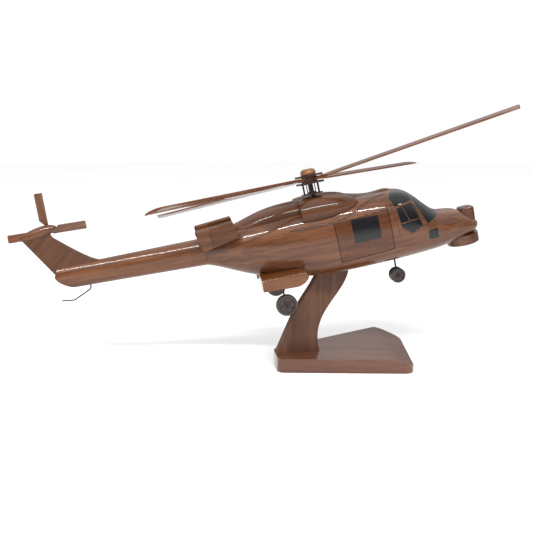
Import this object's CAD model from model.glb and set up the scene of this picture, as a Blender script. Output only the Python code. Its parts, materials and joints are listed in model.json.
"""Looks of the helicopter desk model: lacquered wood, black glazing and trim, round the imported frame."""
import json
from math import radians

import bmesh
import bpy
from mathutils import Euler, Matrix, Vector
from mathutils.bvhtree import BVHTree

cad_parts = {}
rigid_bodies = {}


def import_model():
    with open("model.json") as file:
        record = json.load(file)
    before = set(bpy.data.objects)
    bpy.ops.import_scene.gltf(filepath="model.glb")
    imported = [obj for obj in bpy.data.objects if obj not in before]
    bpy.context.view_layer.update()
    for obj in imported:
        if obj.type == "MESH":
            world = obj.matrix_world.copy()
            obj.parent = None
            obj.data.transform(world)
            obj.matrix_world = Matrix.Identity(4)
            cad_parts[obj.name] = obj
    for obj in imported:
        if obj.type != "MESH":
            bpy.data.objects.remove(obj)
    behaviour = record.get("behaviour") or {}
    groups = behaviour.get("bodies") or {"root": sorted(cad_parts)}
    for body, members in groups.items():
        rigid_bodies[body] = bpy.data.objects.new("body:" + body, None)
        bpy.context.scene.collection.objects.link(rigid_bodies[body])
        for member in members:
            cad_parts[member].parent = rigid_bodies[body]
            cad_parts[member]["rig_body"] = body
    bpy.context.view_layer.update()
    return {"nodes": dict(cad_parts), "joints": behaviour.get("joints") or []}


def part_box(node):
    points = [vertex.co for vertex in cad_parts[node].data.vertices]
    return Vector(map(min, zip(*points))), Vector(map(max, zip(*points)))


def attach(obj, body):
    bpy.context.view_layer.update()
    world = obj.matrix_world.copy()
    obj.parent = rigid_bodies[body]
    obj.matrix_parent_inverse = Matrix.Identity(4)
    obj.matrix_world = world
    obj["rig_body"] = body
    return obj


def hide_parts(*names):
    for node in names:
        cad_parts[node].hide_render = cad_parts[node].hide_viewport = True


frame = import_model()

# ---- the airframe's own axes: X to the nose, Y to port, origin at the hub --------------------------------
NOSE_UP = radians(11.5)
MM = 0.001


def joint_place(name):
    """Point of a joint's axis, in the frame's metres."""
    return Vector(next(joint for joint in frame["joints"] if joint["name"] == name)["pos_m"])


AIRFRAME = Matrix.Translation(joint_place("main_rotor_spin")) @ Matrix.Rotation(-NOSE_UP, 4, "Y")


def at(x, y, z):
    """Point of the airframe, in millimetres from the hub, in the frame's metres."""
    return AIRFRAME @ Vector((x * MM, y * MM, z * MM))


# ---- camera -----------------------------------------------------------------------------------------------
SENSOR = 36.0
FOCAL = 52.6
CAMERA_AT = Vector((-0.1403, -0.6967, 0.2164))
CAMERA_YAW = radians(6.0)          # from straight across the model, towards its nose
CAMERA_DOWN = radians(10.3)
NEAR_CLIP = 0.01

camera_data = bpy.data.cameras.new("camera")
camera_data.lens = FOCAL
camera_data.sensor_width = SENSOR
camera_data.clip_start = NEAR_CLIP
camera = bpy.data.objects.new("camera", camera_data)
bpy.context.scene.collection.objects.link(camera)
aim = Euler((radians(90.0) - CAMERA_DOWN, 0.0, -CAMERA_YAW))
camera.matrix_world = Matrix.Translation(CAMERA_AT) @ aim.to_matrix().to_4x4()
bpy.context.scene.camera = camera

# ---- studio -----------------------------------------------------------------------------------------------
bpy.context.scene.view_settings.view_transform = "Standard"
# (height, brightness): height is 0 straight down, 0.5 at the horizon and 1 overhead
SKY_STOPS = [(0.47, 0.22), (0.58, 0.28), (0.78, 1.05), (1.0, 1.35)]


def studio_sky():
    """World that is bright overhead and dim at the horizon, and plain white where the camera sees it."""
    world = bpy.data.worlds.new("studio")
    world.use_nodes = True
    tree = world.node_tree
    surroundings = tree.nodes["Background"]
    place = tree.nodes.new("ShaderNodeTexCoord")
    split = tree.nodes.new("ShaderNodeSeparateXYZ")
    height = tree.nodes.new("ShaderNodeMapRange")
    height.inputs["From Min"].default_value = -1.0
    sky = tree.nodes.new("ShaderNodeValToRGB")
    while len(sky.color_ramp.elements) < len(SKY_STOPS):
        sky.color_ramp.elements.new(0.5)
    for element, (position, value) in zip(sky.color_ramp.elements, SKY_STOPS):
        element.position = position
        element.color = (value, value, value, 1.0)
    tree.links.new(place.outputs["Generated"], split.inputs[0])
    tree.links.new(split.outputs["Z"], height.inputs["Value"])
    tree.links.new(height.outputs["Result"], sky.inputs["Fac"])
    tree.links.new(sky.outputs["Color"], surroundings.inputs["Color"])
    white = tree.nodes.new("ShaderNodeBackground")
    path = tree.nodes.new("ShaderNodeLightPath")
    mix = tree.nodes.new("ShaderNodeMixShader")
    tree.links.new(path.outputs["Is Camera Ray"], mix.inputs[0])
    tree.links.new(surroundings.outputs[0], mix.inputs[1])
    tree.links.new(white.outputs[0], mix.inputs[2])
    white.inputs["Color"].default_value = (1.0, 1.0, 1.0, 1.0)
    tree.links.new(mix.outputs[0], tree.nodes["World Output"].inputs["Surface"])
    return world


bpy.context.scene.world = studio_sky()


def area_light(name, place, target, size, power):
    """Rectangular lamp at place, aimed at target."""
    data = bpy.data.lights.new(name, "AREA")
    data.shape = "RECTANGLE"
    data.size, data.size_y = size
    data.energy = power
    lamp = bpy.data.objects.new(name, data)
    bpy.context.scene.collection.objects.link(lamp)
    lamp.location = place
    lamp.rotation_euler = (Vector(target) - Vector(place)).to_track_quat("-Z", "Y").to_euler()


LAMPS = [                          # name, place, target, size in metres, power in watts
    ("key_strip", (-0.15, -0.80, 1.00), (-0.05, 0.0, 0.12), (1.2, 0.05), 16.0),
    ("fill_panel", (-0.9, -0.9, 0.9), (-0.05, 0.0, 0.1), (0.6, 0.6), 2.5),
]
for lamp_settings in LAMPS:
    area_light(*lamp_settings)

FLOOR_RADIUS = 4.0
FLOOR_SIDES = 64
FLOOR_DROP = 0.0002                # just under the plinth, so that the two faces don't flicker


def studio_floor():
    """Round floor under the stand."""
    mesh = bmesh.new()
    bmesh.ops.create_circle(mesh, cap_ends=True, segments=FLOOR_SIDES, radius=FLOOR_RADIUS)
    data = bpy.data.meshes.new("floor")
    mesh.to_mesh(data)
    mesh.free()
    disc = bpy.data.objects.new("floor", data)
    disc.location.z = -FLOOR_DROP
    bpy.context.scene.collection.objects.link(disc)
    return disc


floor = studio_floor()

# ---- materials --------------------------------------------------------------------------------------------
COLOUR_A, COLOUR_B, MIXED_COLOUR = 6, 7, 2     # a Mix node's colour inputs and colour output


class Nodes:
    """Shorthand for building a material's node tree."""

    def __init__(self, name):
        self.material = bpy.data.materials.new(name)
        self.material.use_nodes = True
        self.tree = self.material.node_tree
        self.shader = self.tree.nodes["Principled BSDF"]

    def add(self, kind, **settings):
        """A node of that kind, with its properties set by name."""
        node = self.tree.nodes.new(kind)
        for key, value in settings.items():
            setattr(node, key, value)
        return node

    def link(self, source, target):
        """Joins an output to an input."""
        self.tree.links.new(source, target)

    def streaks(self, rotation, size, detail=5.0, distortion=0.0):
        """Noise whose features measure size in metres along the rotated axes."""
        place = self.add("ShaderNodeTexCoord")
        mapping = self.add("ShaderNodeMapping", vector_type="TEXTURE")
        mapping.inputs["Rotation"].default_value = rotation
        mapping.inputs["Scale"].default_value = size
        noise = self.add("ShaderNodeTexNoise")
        noise.inputs["Scale"].default_value = 1.0
        noise.inputs["Detail"].default_value = detail
        noise.inputs["Distortion"].default_value = distortion
        self.link(place.outputs["Object"], mapping.inputs["Vector"])
        self.link(mapping.outputs["Vector"], noise.inputs["Vector"])
        return noise.outputs["Fac"]

    def ramp(self, factor, stops, steps="LINEAR"):
        """Colour ramp through (position, colour) stops."""
        node = self.add("ShaderNodeValToRGB")
        ramp = node.color_ramp
        ramp.interpolation = steps
        while len(ramp.elements) < len(stops):
            ramp.elements.new(0.5)
        for element, (position, colour) in zip(ramp.elements, stops):
            element.position = position
            element.color = (*colour, 1.0)
        self.link(factor, node.inputs["Fac"])
        return node.outputs["Color"]

    def bands(self, start, length, stops):
        """Steps of colour along the airframe, at shares of a length in millimetres ahead of start."""
        place = self.add("ShaderNodeTexCoord")
        mapping = self.add("ShaderNodeMapping", vector_type="TEXTURE")
        mapping.inputs["Location"].default_value = at(start, 0.0, 0.0)
        mapping.inputs["Rotation"].default_value = ALONG
        mapping.inputs["Scale"].default_value = (length * MM, 1.0, 1.0)
        split = self.add("ShaderNodeSeparateXYZ")
        self.link(place.outputs["Object"], mapping.inputs["Vector"])
        self.link(mapping.outputs["Vector"], split.inputs[0])
        return self.ramp(split.outputs["X"], stops, "CONSTANT")

    def multiply(self, one, other):
        """Product of two colours."""
        node = self.add("ShaderNodeMix", data_type="RGBA", blend_type="MULTIPLY")
        node.inputs["Factor"].default_value = 1.0
        self.link(one, node.inputs[COLOUR_A])
        self.link(other, node.inputs[COLOUR_B])
        return node.outputs[MIXED_COLOUR]

    def bump(self, height, strength, distance):
        """Bump on the shader's normal from a height, distance metres deep."""
        node = self.add("ShaderNodeBump")
        node.inputs["Strength"].default_value = strength
        node.inputs["Distance"].default_value = distance
        self.link(height, node.inputs["Height"])
        self.link(node.outputs["Normal"], self.shader.inputs["Normal"])


UNDER_LACQUER = 0.12               # the wood's own reflection, under its coat
FIGURE_AT = (0.24, 0.50, 0.78)     # where in its noise the figure is dark, middle and light
TONE_SIZE = (0.11, 0.03, 0.02)     # along and across the grain, in metres, as are all such sizes
TONE_STOPS = [(0.30, (0.82, 0.78, 0.75)), (0.70, (1.08, 1.06, 1.05))]
PORE_SIZE = (0.009, 0.0006, 0.0006)
PORE_STOPS = [(0.34, (0.78, 0.72, 0.70)), (0.50, (1.0, 1.0, 1.0))]
PORE_BUMP = (0.10, 0.00008)        # strength and depth
MOTTLE_AT = (0.3, 0.7)
MOTTLE_BUMP = (0.05, 0.00005)
PLAIN_COAT_ROUGHNESS = 0.04
ALONG = (0.0, -NOSE_UP, 0.0)
UP = (0.0, radians(90.0), 0.0)
FIN_GRAIN = (0.0, radians(-50.0), 0.0)


def wood(name, dark, middle, light, rotation, roughness=0.4, coat=0.65, coat_roughness=0.03,
         figure=(0.06, 0.006, 0.004), bands=None):
    """Lacquered hardwood: long figure, slow change of tone and fine dark pores, all along the grain."""
    nodes = Nodes(name)
    grain = nodes.streaks(rotation, figure, distortion=0.8)
    tone = nodes.streaks(rotation, TONE_SIZE, detail=2.0)
    pores = nodes.streaks(rotation, PORE_SIZE, detail=3.0)
    colour = nodes.ramp(grain, list(zip(FIGURE_AT, (dark, middle, light))))
    colour = nodes.multiply(colour, nodes.ramp(tone, TONE_STOPS))
    colour = nodes.multiply(colour, nodes.ramp(pores, PORE_STOPS))
    if bands:
        colour = nodes.multiply(colour, nodes.bands(*bands))
    nodes.link(colour, nodes.shader.inputs["Base Color"])
    nodes.bump(pores, *PORE_BUMP)
    nodes.shader.inputs["Roughness"].default_value = roughness
    nodes.shader.inputs["Specular IOR Level"].default_value = UNDER_LACQUER
    nodes.shader.inputs["Coat Weight"].default_value = coat
    nodes.shader.inputs["Coat Roughness"].default_value = coat_roughness
    return nodes.material


def plain(name, colour, roughness, metallic=0.0, coat=0.0, specular=0.3, spread=0.15, size=0.004):
    """Even finish with a slight mottle of tone and a fine bump."""
    nodes = Nodes(name)
    mottle = nodes.streaks((0.0, 0.0, 0.0), (size, size, size), detail=4.0)
    low = tuple(channel * (1.0 - spread) for channel in colour)
    high = tuple(channel * (1.0 + spread) for channel in colour)
    nodes.link(nodes.ramp(mottle, list(zip(MOTTLE_AT, (low, high)))), nodes.shader.inputs["Base Color"])
    nodes.bump(mottle, *MOTTLE_BUMP)
    nodes.shader.inputs["Roughness"].default_value = roughness
    nodes.shader.inputs["Metallic"].default_value = metallic
    nodes.shader.inputs["Specular IOR Level"].default_value = specular
    nodes.shader.inputs["Coat Weight"].default_value = coat
    nodes.shader.inputs["Coat Roughness"].default_value = PLAIN_COAT_ROUGHNESS
    return nodes.material


body_wood = wood("mahogany_body", (0.052, 0.018, 0.007), (0.112, 0.042, 0.017), (0.175, 0.070, 0.029), ALONG)
door_wood = wood("mahogany_door", (0.048, 0.014, 0.004), (0.080, 0.026, 0.008), (0.116, 0.041, 0.013), ALONG)
sponson_wood = wood("mahogany_sponson", (0.083, 0.026, 0.007), (0.125, 0.041, 0.011), (0.172, 0.062, 0.018),
                    ALONG)
deck_wood = wood("mahogany_deck", (0.038, 0.012, 0.004), (0.080, 0.028, 0.010), (0.126, 0.047, 0.018), ALONG,
                 coat=0.4)
boom_wood = wood("mahogany_boom", (0.066, 0.022, 0.007), (0.116, 0.042, 0.014), (0.166, 0.065, 0.024), ALONG)
fin_wood = wood("mahogany_fin", (0.050, 0.017, 0.006), (0.084, 0.029, 0.010), (0.118, 0.044, 0.016),
                FIN_GRAIN, coat=0.35)
# the exhausts, from aft: a sooty rim at the outlet, a pale sleeve and a darker box
EXHAUST_AFT = -112.0
EXHAUST_LENGTH = 40.0
EXHAUST_STOPS = [(0.0, (0.10, 0.09, 0.09)), (0.11, (1.0, 1.0, 1.0)), (0.39, (0.70, 0.64, 0.60))]
exhaust_wood = wood("mahogany_exhaust", (0.066, 0.022, 0.007), (0.116, 0.042, 0.014), (0.166, 0.065, 0.024),
                    ALONG, coat=0.4, bands=(EXHAUST_AFT, EXHAUST_LENGTH, EXHAUST_STOPS))
pylon_wood = wood("mahogany_pylon", (0.085, 0.038, 0.023), (0.122, 0.058, 0.036), (0.160, 0.080, 0.052), UP,
                  roughness=0.5, coat=0.25, coat_roughness=0.25, figure=(0.08, 0.012, 0.006))
plinth_wood = wood("mahogany_plinth", (0.074, 0.027, 0.013), (0.116, 0.045, 0.023), (0.155, 0.065, 0.035),
                   (0.0, 0.0, radians(-7.0)), coat=0.9, coat_roughness=0.04)
dark_wood = wood("dark_hub_wood", (0.022, 0.009, 0.007), (0.040, 0.016, 0.013), (0.062, 0.027, 0.021), ALONG)
turret_wood = wood("dark_turret_wood", (0.042, 0.015, 0.009), (0.080, 0.028, 0.016), (0.115, 0.043, 0.025),
                   UP)
wheel_wood = wood("dark_wheel_wood", (0.018, 0.011, 0.010), (0.034, 0.022, 0.020), (0.055, 0.037, 0.032), UP)
cap_wood = wood("cap_wood", (0.12, 0.045, 0.019), (0.20, 0.08, 0.034), (0.28, 0.12, 0.05), ALONG)
line_wood = wood("groove_line", (0.012, 0.005, 0.003), (0.024, 0.009, 0.006), (0.036, 0.015, 0.009), ALONG)
glazing = plain("black_glazing", (0.006, 0.006, 0.007), 0.15, coat=0.25)
black_steel = plain("black_wire", (0.016, 0.015, 0.014), 0.38, metallic=0.3)
floor_paint = plain("white_floor", (0.93, 0.93, 0.93), 0.9, spread=0.01, size=0.5)
floor.data.materials.append(floor_paint)

BLADES = 4                         # in each rotor


def wood_along(node, centre):
    """Blade wood whose grain runs from a rotor's centre out along that blade."""
    low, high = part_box(node)
    turn = ((low + high) / 2 - centre).to_track_quat("X", "Z").to_euler()
    return wood(f"{node}_wood", (0.080, 0.028, 0.013), (0.132, 0.050, 0.024), (0.190, 0.080, 0.041),
                tuple(turn), coat=0.7, figure=(0.07, 0.003, 0.003))


blade_woods = {}
for rotor in ("main", "tail"):
    for number in range(1, BLADES + 1):
        blade = f"{rotor}_blade_{number}"
        blade_woods[blade] = wood_along(blade, joint_place(f"{rotor}_rotor_spin"))

LOOKS = {
    "cabin_body": body_wood, "cabin_door": door_wood, "engine_deck": deck_wood, "engine_intake": deck_wood,
    "exhaust": exhaust_wood, "tail_boom": boom_wood, "tail_fin": fin_wood, "tail_gearbox_pod": boom_wood,
    "nose_turret": turret_wood, "nose_radome": body_wood, "sponson": sponson_wood, "pylon": pylon_wood,
    "plinth": plinth_wood, "hub_cap": cap_wood, "hub_": dark_wood, "swashplate": dark_wood,
    "rotor_mast": dark_wood, "mast_bush": dark_wood, "tail_hub": dark_wood, "main_wheel": wheel_wood,
    "nose_wheel": wheel_wood, "main_gear_leg": black_steel, "nose_gear_leg": black_steel,
    "tail_skid": black_steel, "tail_shaft": black_steel, "pitch_links": black_steel,
    "pylon_peg": black_steel, "base_screws": black_steel,
    "cabin_window": glazing, "nose_window": glazing, "side_window": glazing, "eyebrow_window": glazing,
    "windscreen": glazing,
}


def look_of(node):
    """Material of a CAD node: its own blade's, or that of the longest name it starts with."""
    if node in blade_woods:
        return blade_woods[node]
    start = max((key for key in LOOKS if node.startswith(key)), key=len)
    return LOOKS[start]


for name, node in frame["nodes"].items():
    node.data.materials.clear()
    node.data.materials.append(look_of(name))

# ---- smoother, edge-softened copies of the carved pieces ---------------------------------------------------
EDGE_ANGLE = radians(32.0)         # a sharper fold than this is an edge
FLAT_ANGLE = radians(0.6)          # faces nearer in line than this are merged
WELD = 0.00001
ROUND_SEGMENTS = 2
SOFT_EDGES = {"plinth": 0.0012, "pylon": 0.0009, "nose_turret": 0.0006, "exhaust_stbd": 0.0005,
              "exhaust_port": 0.0005, "tail_fin": 0.0008}


def softened(node, round_by):
    """Copy of a CAD node with welded vertices, smooth faces and a small round on its hard edges."""
    source = frame["nodes"][node]
    mesh = bmesh.new()
    mesh.from_mesh(source.data)
    bmesh.ops.remove_doubles(mesh, verts=mesh.verts, dist=WELD)
    bmesh.ops.dissolve_limit(mesh, angle_limit=FLAT_ANGLE, verts=mesh.verts, edges=mesh.edges)
    for face in mesh.faces:
        face.smooth = True
    for edge in mesh.edges:
        edge.smooth = edge.calc_face_angle(0.0) < EDGE_ANGLE
    data = bpy.data.meshes.new(f"{node}_soft")
    mesh.to_mesh(data)
    mesh.free()
    data.materials.append(look_of(node))
    piece = bpy.data.objects.new(f"{node}_soft", data)
    bpy.context.scene.collection.objects.link(piece)
    bevel = piece.modifiers.new("round", "BEVEL")
    bevel.width = round_by
    bevel.segments = ROUND_SEGMENTS
    bevel.limit_method = "ANGLE"
    bevel.angle_limit = EDGE_ANGLE
    bevel.use_clamp_overlap = True
    bevel.harden_normals = True
    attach(piece, source["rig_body"])
    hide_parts(node)


for node_name, edge_round in SOFT_EDGES.items():
    softened(node_name, edge_round)

# ---- carved lines, window frames and the roof rail, laid on the carving -----------------------------------
CARVED = ("cabin", "tail_boom", "windscreen", "side_window", "eyebrow", "nose_window", "engine", "exhaust")


def carving():
    """Ray-casting tree of the airframe's outside."""
    outside = bmesh.new()
    for name, node in frame["nodes"].items():
        if name.startswith(CARVED):
            outside.from_mesh(node.data)
    tree = BVHTree.FromBMesh(outside)
    outside.free()
    return tree


OUTSIDE = carving()
CAST_FROM = 70.0                   # millimetres out from the middle, beyond every carved piece
STEP = 1.0
SINK = 0.25                        # how deep a strip's edges lie, in millimetres
SHOULDER = (0.42, 0.6)             # a strip's shoulders: shares of its width out, and of its rise up
PORT_AXIS = (AIRFRAME.to_3x3() @ Vector((0.0, 1.0, 0.0))).normalized()


def on_surface(x, z, side):
    """Where a side-view point meets the outside on that side, and the surface's normal there."""
    hit, normal, _, _ = OUTSIDE.ray_cast(at(x, side * CAST_FROM, z), -side * PORT_AXIS)
    return hit, normal


def sampled(points):
    """Side-view points every STEP millimetres along a line."""
    out = []
    for (x0, z0), (x1, z1) in zip(points, points[1:]):
        count = max(1, round(((x1 - x0) ** 2 + (z1 - z0) ** 2) ** 0.5 / STEP))
        out += [(x0 + (x1 - x0) * i / count, z0 + (z1 - z0) * i / count) for i in range(count)]
    return out + [points[-1]]


def beading(name, points, width, proud, material):
    """Narrow half-round strip lying on the carving on both sides, along a line drawn in side view."""
    out, up = SHOULDER
    profile = [(-width / 2, -SINK), (-width * out, proud * up), (0.0, proud), (width * out, proud * up),
               (width / 2, -SINK)]
    for side_name, side in (("stbd", -1), ("port", 1)):
        mesh = bmesh.new()
        spots = [on_surface(x, z, side) for x, z in sampled(points)]
        spots = [spot for spot in spots if spot[0] is not None]
        rings = []
        for i, (spot, normal) in enumerate(spots):
            ahead = (spots[min(i + 1, len(spots) - 1)][0] - spots[max(i - 1, 0)][0]).normalized()
            across = normal.cross(ahead).normalized()
            rings.append([mesh.verts.new(spot + across * a * MM + normal * b * MM) for a, b in profile])
        count = len(profile)
        for ring, after in zip(rings, rings[1:]):
            for a in range(count):
                mesh.faces.new((ring[a], ring[(a + 1) % count], after[(a + 1) % count], after[a]))
        mesh.faces.new(reversed(rings[0]))
        mesh.faces.new(rings[-1])
        bmesh.ops.recalc_face_normals(mesh, faces=mesh.faces)
        for face in mesh.faces:
            face.smooth = True
        data = bpy.data.meshes.new(f"{name}_{side_name}")
        mesh.to_mesh(data)
        mesh.free()
        data.materials.append(material)
        piece = bpy.data.objects.new(f"{name}_{side_name}", data)
        bpy.context.scene.collection.objects.link(piece)
        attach(piece, "airframe")


# each line: its points in side view, in millimetres from the hub, and its width
RAISED = {
    "roof_rail": ([(-28.4, -34.8), (-7.9, -36.3), (8.5, -36.0), (20.0, -34.4), (28.1, -32.0), (34.0, -29.0),
                   (40.3, -26.2), (51.1, -24.0), (62.0, -23.2)], 1.6),
    "side_window_post": ([(71.1, -35.6), (76.2, -49.6)], 0.9),
    "side_window_bar": ([(67.6, -50.2), (84.9, -49.0)], 0.9),
    "door_post_front": ([(81.2, -33.2), (89.6, -56.4)], 1.0),
    "side_window_sill": ([(68.3, -53.8), (77.2, -61.2), (87.2, -56.1)], 0.8),
}
LINES = {
    "roof_line": ([(-28.4, -36.2), (-7.9, -37.6), (8.5, -37.3), (20.0, -35.8), (28.1, -33.5), (34.0, -30.6),
                   (40.3, -27.8), (51.1, -25.6)], 0.8),
    "door_outline": ([(9.3, -37.9), (58.7, -35.0), (59.3, -71.1), (10.8, -72.9), (9.3, -37.9)], 0.7),
    "exhaust_seam": ([(-97.2, -22.0), (-95.0, -35.4)], 0.5),
    "boom_joint": ([(-103.4, -36.0), (-102.6, -52.0)], 0.5),
    "boom_seam": ([(-212.0, -33.0), (-189.5, -33.0), (-149.4, -34.3), (-108.0, -37.3)], 0.45),
    "door_post_rear": ([(61.6, -33.6), (64.4, -50.0), (65.4, -62.0)], 0.45),
}
RISE = 0.25                        # of a raised strip, as a share of its width
LINE_PROUD = 0.06                  # of a dark line, in millimetres
for name, (points, width) in RAISED.items():
    beading(name, points, width, RISE * width, door_wood)
for name, (points, width) in LINES.items():
    beading(name, points, width, LINE_PROUD, line_wood)
